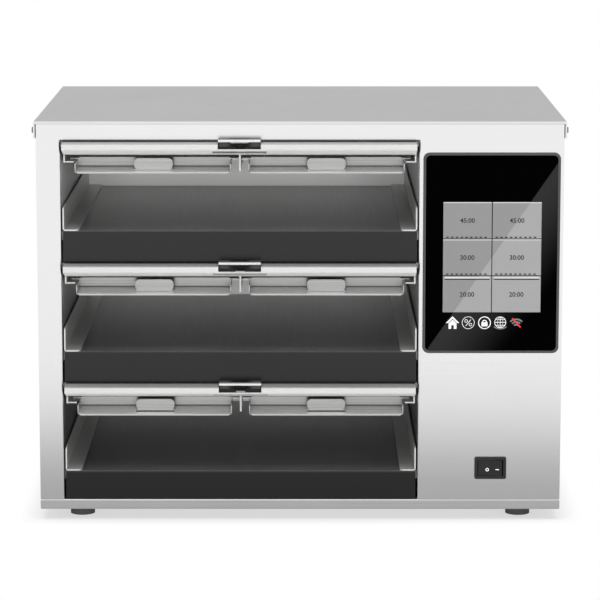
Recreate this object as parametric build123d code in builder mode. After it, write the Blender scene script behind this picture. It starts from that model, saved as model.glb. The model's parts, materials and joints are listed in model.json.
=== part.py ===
from build123d import *
import os
from math import cos, radians, sin

# Countertop heated holding cabinet: three heated shelves, each under a slide-out rack that carries
# two pan lids, beside a control bay with a touchscreen and a rocker switch.
# Millimetres. +X is to the right seen from the front, the front faces -Y, +Z is up.
# The origin is the middle of the footprint, at the underside of the feet.

os.makedirs("parts", exist_ok=True)

# Body
body_depth = 400.0
sheet = 1.0
bend_radius = 1.6
return_width = 12.0
flange_width = 8.0
side_flange_width = 10.0
base_band = 11.5
seat_gap = 0.3
hair_gap = 0.2
rail_reach = 20.0
gland_reach = 20.0

# Feet
foot_height = 12.0
foot_diameter = 27.0
foot_inset_x = 44.0
foot_inset_y = 36.0
foot_screw_radius = 2.4
foot_screw_head_width = 8.0
foot_hole_depth = 8.0
foot_screw_head_height = 2.5
thread_clearance = 0.1

# Top cover
cover_overhang = 2.6
cover_flange_height = 19.0
cover_radius = 2.0
cover_lip = 3.0
hem_gap = 0.6
hem_round = 0.9

# Small screws
screw_radius = 1.7
screw_head_radius = 3.2
screw_head_height = 1.5
back_screw_width = 5.5
screw_length = 6.0
screw_hole_clearance = 0.2
cover_screw_drop = 10.0
cover_screw_setback = 6.0
back_screw_inset = 5.0
back_screw_margin = 36.0

# Heated cavity
stile_width = 26.5
cavity_width = 390.0
liner_sheet = 0.8
back_wall = 10.0
lowest_floor = 43.4
row_pitch = 133.7
row_count = 3
shelf_height = 35.0
opening_extra = 0.5
lintel_height = 21.0
side_insulation_right = 8.0
back_insulation = 5.0
top_insulation = 15.0
slab_clearance = 1.5

# Heated shelves
shelf_sheet = 1.5
shelf_side_gap = 2.0
shelf_setback = 0.5
shelf_bend = 2.0
tray_sheet = 0.8
tray_setback = 8.0
tray_side_gap = 1.0
shelf_lip = 12.0
shelf_back_flange = 15.0
heater_thickness = 1.5
heater_margin = 14.0
bracket_sheet = 1.5
bracket_leg = 10.0
bracket_setback = 14.0
sensor_setback = 220.0
sensor_length = 30.0
sensor_width = 12.0
sensor_height = 4.0

# Pan guides
guide_sheet = 1.5
guide_height = 26.0
guide_width = 17.5
guide_gap = 1.7
guide_bend = 3.0
guide_corner = 5.0
guide_setback = 1.0

# Lid rack
rack_sheet = 1.5
rail_sheet = 1.2
rack_side_gap = 3.0
rack_top_gap = 1.1
rack_lip = 2.4
runner_width = 2.2
runner_height = 5.0
runner_end_gap = 2.0
flange_height = 75.3
flange_reach = 9.3
flange_setback = 12.0
rail_lip_height = 6.8
rail_lip_lean = 0.5
rail_nose_drop = 14.5
rail_nose_back = 5.5
rail_strip_back = 7.5
tie_front = 6.0
rack_bend = 2.0
rail_bend = 1.8
web_thickness = 2.0
web_bottom = 64.0
web_slant = 7.0
centre_flange_half = 8.5
centre_flange_setback = 35.0

# Rack latch
latch_width = 45.8
latch_side_clearance = 0.4
latch_lip_thickness = 2.2
latch_sheet = 1.2
latch_hook_width = 16.0
latch_plate_setback = 18.0
latch_hook_setback = 4.0
latch_hook_top = 0.8
latch_foot_depth = 5.0
latch_lip_top = 4.2
latch_hook_clearance = 0.5
latch_window_width = 20.0
latch_window_height = 4.6
latch_window_drop = 4.4
recess_floor = 5.7
slot_width = 58.6
slot_front = 15.0
slot_depth = 15.0
slot_top_drop = 9.0
slot_height = 3.2
spring_width = 10.0
spring_leaf = 0.5
spring_foot_height = 3.0
spring_bottom = 3.0
spring_reach = 5.8
spring_bend = 1.0

# Pan lids
lid_sheet = 1.0
lid_box_inset = 0.75
lid_gap = 19.0
lid_edge_clearance = 2.2
lid_top = 77.6
lid_corner = 3.5
lid_face_setback = 31.0
lid_skirt_bottom = 66.2
wing_clearance = 0.3
wing_root = 1.3
wing_reach = 7.6
ledge_front_reach = 9.5
ledge_crease = 67.4
ledge_fall = 1.4
ledge_corner = 6.0
hem_radius = 0.95
lip_top = 74.5
lip_sheet = 1.0
lip_front_setback = 5.0
lip_corner = 2.2
tab_width = 42.0
tab_height = 13.1
tab_lean = 12.0
tab_base_setback = 12.0
tab_corner = 5.0
tab_slot_depth = 11.5

# Touchscreen
bezel_width = 149.2
bezel_height = 221.0
bezel_left_gap = 4.5
bezel_right_gap = 3.8
bezel_top_drop = 34.0
bezel_corner = 7.0
bezel_rim = 2.8
bezel_reach = 2.5
bezel_lap = 4.6
bezel_collar = 9.0
bezel_wall = 3.0
glass_thickness = 1.5
glass_recess = 0.3
glass_clearance = 0.1
module_depth = 14.0
bezel_edge = 0.8
glass_corner = 5.0

# Rocker switch
switch_width = 35.0
switch_height = 24.7
switch_right_inset = 77.0
switch_blade_width = 6.3
switch_blade = 0.8
switch_blade_length = 8.0
switch_blade_pitch = 9.0
rocker_edge = 0.6
switch_bottom = 34.7
switch_reach = 2.0
switch_corner = 2.0
switch_lap = 1.5
switch_body_depth = 24.0
rocker_well_width = 28.4
rocker_well_height = 18.1
rocker_well_depth = 14.0
rocker_width = 26.8
rocker_height = 17.5
rocker_crown = 3.2
rocker_dip = 1.2
rocker_depth = 8.0
rocker_pivot_depth = 4.0
rocker_tilt = 7.0
trunnion_radius = 1.5
trunnion_length = 1.4
trunnion_clearance = 0.06

# Control bay
board_width = 150.0
board_height = 110.0
board_thickness = 1.6
board_standoff = 8.0
standoff_width = 6.0
board_bottom = 190.0
board_setback = 90.0
standoff_inset = 8.0
chip_size = 22.0
chip_pitch = 38.0
chip_height = 9.0
supply_width = 98.0
supply_depth = 129.0
supply_height = 38.0
supply_setback = 45.0
supply_recess = 14.0
sink_width = 100.0
sink_base = 5.0
sink_fin = 18.0
sink_fins = 8
sink_depth = 110.0
sink_setback = 245.0
sink_fin_thickness = 2.5
relay_pitch = 32.0
relay_width = 24.0
relay_depth = 46.0
relay_height = 20.0
relay_edge = 0.6
terminal_length = 90.0
terminal_width = 22.0
terminal_height = 18.0
terminal_ways = 6
terminal_setback = 250.0
terminal_above_base = 100.0
terminal_slot = 9.0

# Louvres, vents and the cord gland
louvre_length = 56.0
louvre_height = 8.0
louvre_reach = 3.0
louvre_wall = 1.0
louvre_pitch = 14.0
louvre_rows = 5
louvre_columns_gap = 12.0
vent_slot_length = 40.0
vent_slot_width = 4.0
vent_slot_pitch = 12.0
vent_slots = 6
gland_radius = 9.0
gland_nut_width = 24.0
gland_nut_height = 6.0
gland_bore = 4.5
gland_x_inset = 60.0
gland_above_base = 42.0
gland_hole_clearance = 0.2
gland_inner_length = 12.0
gland_hex_length = 8.0
gland_cap_width = 21.0
gland_cap_chamfer = 3.0

# Overall size and levels worked out from the sizes above
body_width = stile_width + cavity_width + bezel_left_gap + bezel_width + bezel_right_gap
clear_height = row_pitch - shelf_height
body_height = lowest_floor + (row_count - 1) * row_pitch + clear_height + opening_extra + lintel_height
front_y = (rail_reach - body_depth - gland_reach) / 2
back_y = front_y + body_depth
half_width = body_width / 2
base_bottom = foot_height
base_top = base_bottom + base_band
body_top = base_bottom + body_height
cover_under = body_top - sheet
cover_lip_bottom = body_top - cover_lip
panel_top = cover_lip_bottom - hair_gap
panel_front_y = front_y + return_width
panel_back_y = back_y - sheet

cavity_left = stile_width - half_width
cavity_right = cavity_left + cavity_width
cavity_mid = (cavity_left + cavity_right) / 2
liner_bottom = base_bottom + sheet
liner_back_y = back_y - back_wall


def floor_of(row):
    """Upper face of a row's heated shelf. Row 1 is the top row."""
    return base_bottom + lowest_floor + (row_count - row) * row_pitch


def shelf_bottom_of(row):
    """Lower edge of a shelf's front. The lowest one stops above the base pan."""
    return max(floor_of(row) - shelf_height, base_top + seat_gap)


opening_top = floor_of(1) + clear_height + opening_extra
rows = range(1, row_count + 1)

rack_half = cavity_width / 2 - rack_side_gap
rack_inner_half = rack_half - rack_sheet
rack_top = clear_height - rack_top_gap
rack_back_y = liner_back_y - seat_gap
strip_under = rack_top - rail_sheet
nose_z = rack_top - rail_lip_height
nose_y = front_y - rail_reach
heel_z = rack_top - rail_nose_drop
heel_y = front_y + rail_nose_back
tie_y = front_y + tie_front
frame_y = tie_y + rack_sheet

lid_width = rack_inner_half - flange_reach - lid_edge_clearance - lid_gap / 2
lid_offset = lid_gap / 2 + lid_width / 2
lid_back_y = rack_back_y - rack_sheet - seat_gap
lid_face_y = front_y + lid_face_setback
ledge_y = front_y - ledge_front_reach

part_names = []


def save(part, name):
    part.part.label = name
    export_step(part.part, f"parts/{name}.step")
    part_names.append(name)


def save_at(source, name, *spots):
    """Saves the source piece moved to each spot, as one node."""
    with BuildPart() as placed:
        with Locations(*spots):
            add(source.part)
    save(placed, name)


def facing_front(y):
    """Plane of a front view at the depth y. A positive extrusion comes to the front."""
    return Plane.XZ.offset(-y)


def slab(x0, x1, y0, y1, z0, z1, mode=Mode.ADD):
    """Rectangular plate or cut-out between three pairs of faces."""
    with BuildSketch(Plane.XY.offset(z0), mode=Mode.PRIVATE) as outline:
        with Locations(((x0 + x1) / 2, (y0 + y1) / 2)):
            Rectangle(x1 - x0, y1 - y0)
    extrude(outline.sketch, amount=z1 - z0, mode=mode)


def bend(plane, points, radius, thickness, length, side=Side.LEFT, mode=Mode.ADD):
    """Bent sheet: a strip that follows the points, rounded outside each bend, extruded from the plane."""
    with BuildSketch(plane, mode=Mode.PRIVATE) as section:
        with BuildLine():
            Polyline(*points)
            offset(amount=thickness, side=side, kind=Kind.INTERSECTION)
        make_face()
        outer = []
        for before, corner, beyond in zip(points, points[1:], points[2:]):
            inside = (Vector(*before) + Vector(*beyond)) / 2
            pair = section.vertices().sort_by_distance(corner)[:2]
            outer.append(pair.sort_by_distance(inside)[-1])
        fillet(outer, radius)
    extrude(section.sketch, amount=length, mode=mode)


def rounded_panel(y, x, z, width, height, corner, amount, mode=Mode.ADD):
    """Upright plate with rounded corners, centred on x and z, extruded to the front from y."""
    with BuildSketch(facing_front(y), mode=Mode.PRIVATE) as outline:
        with Locations((x, z)):
            RectangleRounded(width, height, corner)
    extrude(outline.sketch, amount=amount, mode=mode)


def square_panel(y, x, z, width, height, amount, mode=Mode.ADD):
    """The same with square corners."""
    with BuildSketch(facing_front(y), mode=Mode.PRIVATE) as outline:
        with Locations((x, z)):
            Rectangle(width, height)
    extrude(outline.sketch, amount=amount, mode=mode)


def rod(plane, spots, radius, length, mode=Mode.ADD):
    """Round rods or holes at the spots of a plane."""
    with BuildSketch(plane, mode=Mode.PRIVATE) as outline:
        with Locations(*spots):
            Circle(radius)
    extrude(outline.sketch, amount=length, mode=mode)


def hexagons(plane, spots, width, length):
    """Hexagonal heads or nuts, with their width across the flats."""
    with BuildSketch(plane, mode=Mode.PRIVATE) as outline:
        with Locations(*spots):
            RegularPolygon(width / 2, 6, major_radius=False)
    extrude(outline.sketch, amount=length)


# Base pan: folded tray whose top flange carries the panels
foot_spots = [
    (half_width - foot_inset_x, front_y + foot_inset_y),
    (foot_inset_x - half_width, front_y + foot_inset_y),
    (half_width - foot_inset_x, back_y - foot_inset_y),
    (foot_inset_x - half_width, back_y - foot_inset_y),
]
bay_left = cavity_right + liner_sheet + side_insulation_right
bay_mid = (bay_left + half_width) / 2
with BuildPart() as base_pan:
    slab(-half_width, half_width, front_y, back_y, base_bottom, base_top)
    fillet(base_pan.edges().filter_by(Plane.XY), bend_radius)
    slab(sheet - half_width, half_width - sheet, front_y + sheet, back_y - sheet, liner_bottom,
         base_top - sheet, Mode.SUBTRACT)
    slab(flange_width - half_width, half_width - flange_width, front_y + flange_width,
         back_y - flange_width, base_top - sheet, base_top, Mode.SUBTRACT)
    rod(Plane.XY.offset(base_bottom), foot_spots, foot_screw_radius + thread_clearance, sheet, Mode.SUBTRACT)
    with BuildSketch(Plane.XY.offset(base_bottom)):
        with Locations((bay_mid, 0)):
            with GridLocations(0, vent_slot_pitch, 1, vent_slots):
                Rectangle(vent_slot_length, vent_slot_width)
    extrude(amount=sheet, mode=Mode.SUBTRACT)
save(base_pan, "base_pan")

# Feet, screwed on from inside the base pan with hexagon-head screws
with BuildPart() as feet:
    rod(Plane.XY, foot_spots, foot_diameter / 2, foot_height)
    rod(Plane.XY.offset(foot_height), foot_spots, foot_screw_radius + thread_clearance, -foot_hole_depth,
        Mode.SUBTRACT)
save(feet, "feet")

foot_screw_length = sheet + foot_hole_depth - thread_clearance
with BuildPart() as foot_screws:
    hexagons(Plane.XY.offset(liner_bottom), foot_spots, foot_screw_head_width, foot_screw_head_height)
    rod(Plane.XY.offset(liner_bottom), foot_spots, foot_screw_radius, -foot_screw_length)
save(foot_screws, "foot_screws")

# Top cover: bent down over the front panel's top edge, with hemmed flanges at the sides
cover_half = half_width + cover_overhang
flange_bottom = body_top - cover_flange_height
cover_screw_spots = [(front_y + cover_screw_setback, body_top - cover_screw_drop)]
with BuildPart() as top_cover:
    slab(-cover_half, cover_half, front_y, back_y, flange_bottom, body_top)
    upper = top_cover.edges().group_by(Axis.Z)[-1]
    fillet(upper.filter_by(Axis.Y) + upper.filter_by(Axis.X).sort_by(Axis.Y)[:1], cover_radius)
    fillet(top_cover.edges().filter_by(Axis.Y).group_by(Axis.Z)[0], hem_round)
    slab(-half_width - hem_gap, half_width + hem_gap, front_y, back_y, flange_bottom, cover_lip_bottom,
         Mode.SUBTRACT)
    slab(-half_width - hem_gap, half_width + hem_gap, front_y + sheet, back_y, cover_lip_bottom,
         cover_under, Mode.SUBTRACT)
    for side in (-cover_half, cover_half):
        rod(Plane.YZ.offset(side), cover_screw_spots, screw_radius + screw_hole_clearance,
            -2 * cover_overhang if side > 0 else 2 * cover_overhang, Mode.SUBTRACT)
save(top_cover, "top_cover")

with BuildPart() as cover_screws:
    rod(Plane.YZ.offset(cover_half), cover_screw_spots, screw_radius, -screw_length)
    rod(Plane.YZ.offset(cover_half), cover_screw_spots, screw_head_radius, screw_head_height)
    mirror(about=Plane.YZ)
save(cover_screws, "cover_screws")

# Front panel: folded frame round the cavity's opening, with the display and switch cut-outs
display_x = cavity_right + bezel_left_gap + bezel_width / 2
display_z = body_top - bezel_top_drop - bezel_height / 2
switch_x = half_width - switch_right_inset
switch_z = base_bottom + switch_bottom + switch_height / 2
hook_y = front_y + latch_hook_setback
hook_slot = (
    cavity_mid - latch_hook_width / 2 - latch_hook_clearance,
    cavity_mid + latch_hook_width / 2 + latch_hook_clearance,
    hook_y - latch_hook_clearance,
    hook_y + latch_sheet + latch_hook_clearance,
)
with BuildPart() as front_panel:
    with BuildSketch(facing_front(front_y)):
        with Locations((0, (base_top + panel_top) / 2)):
            Rectangle(body_width, panel_top - base_top)
        with Locations((cavity_mid, (base_top + opening_top) / 2)):
            Rectangle(cavity_width, opening_top - base_top, mode=Mode.SUBTRACT)
    extrude(amount=-return_width)
    face_edges = front_panel.faces().sort_by(Axis.Y)[0].edges()
    upright = face_edges.filter_by(Axis.Z)
    lintel = face_edges.filter_by(Axis.X).sort_by(Axis.Z)[-2]
    fillet(upright + [lintel], bend_radius)
    offset(amount=-sheet, openings=front_panel.faces().sort_by(Axis.Y)[-1])
    slab(*hook_slot, opening_top, opening_top + sheet, Mode.SUBTRACT)
    square_panel(front_y + return_width / 2, display_x, display_z, bezel_width - 2 * bezel_lap,
                 bezel_height - 2 * bezel_lap, return_width / 2, Mode.SUBTRACT)
    square_panel(front_y + return_width / 2, switch_x, switch_z, switch_width - 2 * switch_lap,
                 switch_height - 2 * switch_lap, return_width / 2, Mode.SUBTRACT)
    rod(Plane.YZ.offset(-half_width), cover_screw_spots, screw_radius + thread_clearance, body_width,
        Mode.SUBTRACT)
save(front_panel, "front_panel")

# Side panels with a flange at each end
def side_panel(sign):
    inner = sign * (half_width - side_flange_width)
    with BuildPart() as panel:
        bend(Plane.XY.offset(base_top),
             [(inner, panel_front_y), (sign * half_width, panel_front_y),
              (sign * half_width, panel_back_y), (inner, panel_back_y)],
             bend_radius, sheet, cover_under - base_top, Side.LEFT if sign > 0 else Side.RIGHT)
        rod(facing_front(panel_back_y), back_screw_spots, screw_radius + thread_clearance, sheet,
            Mode.SUBTRACT)
    return panel


back_screw_spots = [
    (side * (half_width - back_screw_inset), z)
    for side in (-1, 1)
    for z in (base_top + back_screw_margin, cover_under - back_screw_margin)
]
save(side_panel(-1), "side_panel_left")
save(side_panel(1), "side_panel_right")

# Back panel with louvres behind the control bay and the cord gland's hole
gland_spot = (half_width - gland_x_inset, base_bottom + gland_above_base)
louvre_levels = [
    (base_top + body_top) / 2 + (row - (louvre_rows - 1) / 2) * louvre_pitch
    for row in range(louvre_rows)
]
louvre_starts = [bay_mid - louvre_columns_gap / 2 - louvre_length, bay_mid + louvre_columns_gap / 2]
with BuildPart() as back_panel:
    slab(-half_width, half_width, panel_back_y, back_y, base_top, cover_under)
    for start in louvre_starts:
        with BuildSketch(Plane.YZ.offset(start)):
            with BuildLine():
                Polyline((back_y, louvre_height), (back_y + louvre_reach, 0), (back_y, 0), close=True)
            hood = make_face(mode=Mode.PRIVATE)
            with Locations(*[(0, level) for level in louvre_levels]):
                add(hood)
        extrude(amount=louvre_length)
    for start in louvre_starts:
        with BuildSketch(Plane.YZ.offset(start + louvre_wall)):
            with BuildLine():
                Polyline((panel_back_y, louvre_height - 2 * louvre_wall),
                         (back_y, louvre_height - 2 * louvre_wall),
                         (back_y + louvre_reach - louvre_wall, 0), (panel_back_y, 0), close=True)
            throat = make_face(mode=Mode.PRIVATE)
            with Locations(*[(0, level) for level in louvre_levels]):
                add(throat)
        extrude(amount=louvre_length - 2 * louvre_wall, mode=Mode.SUBTRACT)
    rod(facing_front(back_y), back_screw_spots, screw_radius + screw_hole_clearance, sheet, Mode.SUBTRACT)
    rod(facing_front(back_y), [gland_spot], gland_radius + gland_hole_clearance, sheet, Mode.SUBTRACT)
save(back_panel, "back_panel")

with BuildPart() as back_screws:
    rod(facing_front(back_y), back_screw_spots, screw_radius, screw_length)
    hexagons(facing_front(back_y), back_screw_spots, back_screw_width, -screw_head_height)
save(back_screws, "back_screws")

# Cord gland and its nut; the bore is for the supply cord
with BuildPart() as cord_gland:
    hexagons(facing_front(back_y), [gland_spot], gland_nut_width, -gland_hex_length)
    hexagons(facing_front(back_y + gland_hex_length), [gland_spot], gland_cap_width,
             gland_hex_length - gland_reach)
    chamfer(cord_gland.faces().sort_by(Axis.Y)[-1].edges(), gland_cap_chamfer)
    rod(facing_front(back_y), [gland_spot], gland_radius, gland_inner_length)
    rod(facing_front(back_y + gland_reach), [gland_spot], gland_bore, gland_reach + gland_inner_length,
        Mode.SUBTRACT)
save(cord_gland, "cord_gland")

with BuildPart() as gland_nut:
    hexagons(facing_front(panel_back_y), [gland_spot], gland_nut_width, gland_nut_height)
    rod(facing_front(panel_back_y), [gland_spot], gland_radius + thread_clearance, gland_nut_height,
        Mode.SUBTRACT)
save(gland_nut, "gland_nut")

# Cavity liner
liner_left = cavity_left - liner_sheet
liner_right = cavity_right + liner_sheet
ceiling_top = opening_top + liner_sheet
with BuildPart() as cavity_wall_left:
    slab(liner_left, cavity_left, panel_front_y, liner_back_y, liner_bottom, opening_top)
save(cavity_wall_left, "cavity_wall_left")

with BuildPart() as cavity_wall_right:
    slab(cavity_right, liner_right, panel_front_y, liner_back_y, liner_bottom, opening_top)
save(cavity_wall_right, "cavity_wall_right")

with BuildPart() as cavity_back_wall:
    slab(liner_left, liner_right, liner_back_y, liner_back_y + liner_sheet, liner_bottom, ceiling_top)
save(cavity_back_wall, "cavity_back_wall")

with BuildPart() as cavity_ceiling:
    slab(liner_left, liner_right, panel_front_y, liner_back_y, opening_top, ceiling_top)
save(cavity_ceiling, "cavity_ceiling")

# Insulation slabs, each against its liner wall
slab_front = panel_front_y + slab_clearance
slab_back = liner_back_y - slab_clearance
with BuildPart() as insulation_left:
    slab(sheet + slab_clearance - half_width, liner_left, slab_front, slab_back, base_top,
         opening_top - slab_clearance)
save(insulation_left, "insulation_left")

with BuildPart() as insulation_right:
    slab(liner_right, bay_left, slab_front, slab_back, liner_bottom, opening_top - slab_clearance)
save(insulation_right, "insulation_right")

with BuildPart() as insulation_top:
    slab(cavity_left, cavity_right, slab_front, slab_back, ceiling_top + heater_thickness,
         ceiling_top + heater_thickness + top_insulation)
save(insulation_top, "insulation_top")

with BuildPart() as insulation_back:
    slab(cavity_left, cavity_right, liner_back_y + liner_sheet, liner_back_y + liner_sheet + back_insulation,
         base_top, opening_top)
save(insulation_back, "insulation_back")

# Heated shelves: floor and dark front bent from one sheet
shelf_half = cavity_width / 2 - shelf_side_gap
shelf_front_y = front_y + shelf_setback
shelf_back_y = liner_back_y - seat_gap
for row in rows:
    top = floor_of(row)
    bottom = shelf_bottom_of(row)
    with BuildPart() as shelf:
        bend(Plane.YZ.offset(cavity_mid - shelf_half),
             [(shelf_front_y + shelf_lip, bottom), (shelf_front_y, bottom), (shelf_front_y, top),
              (shelf_back_y, top), (shelf_back_y, top - shelf_back_flange)],
             shelf_bend, shelf_sheet, 2 * shelf_half, Side.RIGHT)
        slab(*hook_slot, bottom, bottom + shelf_sheet, Mode.SUBTRACT)
    save(shelf, f"shelf_{row}")

# Brackets on the cavity walls that carry the shelves
bracket_front_y = front_y + bracket_setback
bracket_back_y = shelf_back_y - shelf_sheet - shelf_bend / 2
bracket_inner = cavity_width / 2 - bracket_leg
with BuildPart() as shelf_brackets:
    for row in rows:
        under = floor_of(row) - shelf_sheet
        bend(facing_front(bracket_back_y),
             [(cavity_mid + bracket_inner, under), (cavity_right, under),
              (cavity_right, under - bracket_leg)],
             bend_radius, bracket_sheet, bracket_back_y - bracket_front_y, Side.RIGHT)
    mirror(about=Plane.YZ.offset(cavity_mid))
save(shelf_brackets, "shelf_brackets")

# Trays that close the shelves from below
tray_half = bracket_inner - tray_side_gap
tray_front_y = front_y + tray_setback
tray_back_y = bracket_back_y
with BuildPart() as shelf_trays:
    for row in rows:
        tray_top = floor_of(row) - shelf_sheet
        tray_bottom = shelf_bottom_of(row) + shelf_sheet
        bend(facing_front(tray_back_y),
             [(cavity_mid - tray_half, tray_top), (cavity_mid - tray_half, tray_bottom),
              (cavity_mid + tray_half, tray_bottom), (cavity_mid + tray_half, tray_top)],
             bend_radius, tray_sheet, tray_back_y - tray_front_y, Side.LEFT)
save(shelf_trays, "shelf_trays")

# Foil heaters under the shelves and on the ceiling, and a flat sensor against each shelf's heater
sensor_y = front_y + sensor_setback
heater_half = tray_half - heater_margin
heater_front_y = tray_front_y + heater_margin
heater_back_y = tray_back_y - heater_margin
with BuildPart() as foil_heaters:
    for level in [floor_of(row) - shelf_sheet - heater_thickness for row in rows] + [ceiling_top]:
        slab(cavity_mid - heater_half, cavity_mid + heater_half, heater_front_y, heater_back_y, level,
             level + heater_thickness)
save(foil_heaters, "foil_heaters")

with BuildPart() as temperature_sensors:
    for row in rows:
        level = floor_of(row) - shelf_sheet - heater_thickness
        slab(cavity_mid - sensor_width / 2, cavity_mid + sensor_width / 2, sensor_y,
             sensor_y + sensor_length, level - sensor_height, level)
save(temperature_sensors, "temperature_sensors")

# Pan guides: an L at each side of every shelf
guide_outer = cavity_left + guide_gap
guide_back_y = liner_back_y - seat_gap
with BuildPart() as pan_guide_pair:
    bend(facing_front(guide_back_y),
         [(guide_outer, guide_height), (guide_outer, 0), (guide_outer + guide_width, 0)],
         guide_bend, guide_sheet, guide_back_y - front_y - guide_setback, Side.LEFT)
    fillet(pan_guide_pair.edges().filter_by(Axis.X).group_by(Axis.Z)[-1].sort_by(Axis.Y)[0], guide_corner)
    fillet(pan_guide_pair.edges().filter_by(Axis.Z).group_by(Axis.X)[-1].sort_by(Axis.Y)[0], guide_corner)
    mirror(about=Plane.YZ.offset(cavity_mid))
save_at(pan_guide_pair, "pan_guides", *[(0, 0, floor_of(row)) for row in rows])

# Runners on the cavity walls that carry the racks
runner_top = rack_top - rack_sheet - hair_gap
with BuildPart() as runner_pair:
    slab(cavity_right - runner_width, cavity_right, panel_front_y + runner_end_gap,
         liner_back_y - runner_end_gap, runner_top - runner_height, runner_top)
    mirror(about=Plane.YZ.offset(cavity_mid))
save_at(runner_pair, "rack_runners", *[(0, 0, floor_of(row)) for row in rows])

# Rack frame: side plates with runner flanges, centre runner, front tie and back bar
with BuildPart() as rack_frame:
    bend(facing_front(rack_back_y - rack_sheet),
         [(rack_half + rack_lip, rack_top), (rack_inner_half, rack_top),
          (rack_inner_half, flange_height), (rack_inner_half - flange_reach, flange_height)],
         rack_bend, rack_sheet, rack_back_y - rack_sheet - frame_y, Side.LEFT)
    slab(rack_inner_half - flange_reach, rack_inner_half, frame_y, front_y + flange_setback,
         flange_height - rack_sheet, flange_height + rack_bend, Mode.SUBTRACT)
    mirror(about=Plane.YZ)
    slab(-rack_half, rack_half, tie_y, frame_y, heel_z, strip_under)
    slab(-rack_half, rack_half, rack_back_y - rack_sheet, rack_back_y, flange_height - rack_sheet, rack_top)
    with BuildSketch(Plane.YZ.offset(-web_thickness / 2)):
        with BuildLine():
            Polyline((frame_y, strip_under), (frame_y, heel_z), (frame_y + web_slant, web_bottom),
                     (rack_back_y - rack_sheet, web_bottom), (rack_back_y - rack_sheet, strip_under),
                     close=True)
        make_face()
    extrude(amount=web_thickness)
    slab(-centre_flange_half, centre_flange_half, front_y + centre_flange_setback,
         rack_back_y - rack_sheet, flange_height - rack_sheet, flange_height)

# Rack rail: folded nose with a notch for the latch and a long opening in the sloping underside
with BuildPart() as rack_rail:
    bend(Plane.YZ.offset(-rack_half),
         [(front_y + rail_strip_back, rack_top), (nose_y, rack_top), (nose_y + rail_lip_lean, nose_z),
          (heel_y, heel_z)],
         rail_bend, rail_sheet, 2 * rack_half, Side.LEFT)
    slab(-latch_width / 2 - latch_side_clearance, latch_width / 2 + latch_side_clearance, nose_y,
         nose_y + latch_plate_setback + latch_sheet + latch_hook_clearance, rack_top - recess_floor,
         rack_top, Mode.SUBTRACT)
    slab(-latch_hook_width / 2 - latch_hook_clearance, latch_hook_width / 2 + latch_hook_clearance,
         hook_y - latch_hook_clearance, hook_y + latch_sheet + latch_hook_clearance, strip_under, rack_top,
         Mode.SUBTRACT)
    slab(-slot_width / 2, slot_width / 2, front_y - slot_front, front_y - slot_front + slot_depth,
         rack_top - slot_top_drop - slot_height, rack_top - slot_top_drop, Mode.SUBTRACT)

# Rack latch: finger lip, windowed plate, tongue under the rail's strip, hook behind the shelf's front
tongue_top = strip_under - hair_gap
plate_y = nose_y + latch_plate_setback
with BuildPart() as rack_latch:
    slab(-latch_width / 2, latch_width / 2, nose_y, plate_y + latch_sheet,
         rack_top + latch_lip_top - latch_lip_thickness, rack_top + latch_lip_top)
    fillet(rack_latch.edges().filter_by(Axis.X).group_by(Axis.Y)[0], hem_radius)
    slab(-latch_width / 2, latch_width / 2, plate_y, plate_y + latch_sheet, rack_top - latch_foot_depth,
         rack_top + latch_lip_top - latch_lip_thickness)
    slab(-latch_window_width / 2, latch_window_width / 2, plate_y, plate_y + latch_sheet,
         rack_top - latch_window_drop, rack_top - latch_window_drop + latch_window_height, Mode.SUBTRACT)
    slab(-latch_width / 2, latch_width / 2, plate_y, plate_y + latch_sheet, tongue_top - latch_sheet,
         tongue_top)
    slab(-latch_hook_width / 2, latch_hook_width / 2, plate_y, hook_y + latch_sheet,
         tongue_top - latch_sheet, tongue_top)
    slab(-latch_hook_width / 2, latch_hook_width / 2, hook_y, hook_y + latch_sheet, tongue_top - latch_sheet,
         rack_top + latch_hook_top)

leaf_bottom = heel_z + spring_bottom
leaf_knee = leaf_bottom + spring_foot_height
leaf_tip = tongue_top - latch_sheet - hair_gap
with BuildPart() as latch_spring:
    bend(Plane.YZ.offset(-spring_width / 2),
         [(tie_y, leaf_bottom), (tie_y, leaf_knee), (tie_y - spring_reach, leaf_tip)],
         spring_bend, spring_leaf, spring_width, Side.LEFT)

for row in rows:
    spot = (cavity_mid, 0, floor_of(row))
    save_at(rack_frame, f"rack_frame_{row}", spot)
    save_at(rack_rail, f"rack_rail_{row}", spot)
    save_at(rack_latch, f"latch_{row}", spot)
    save_at(latch_spring, f"latch_spring_{row}", spot)

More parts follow.
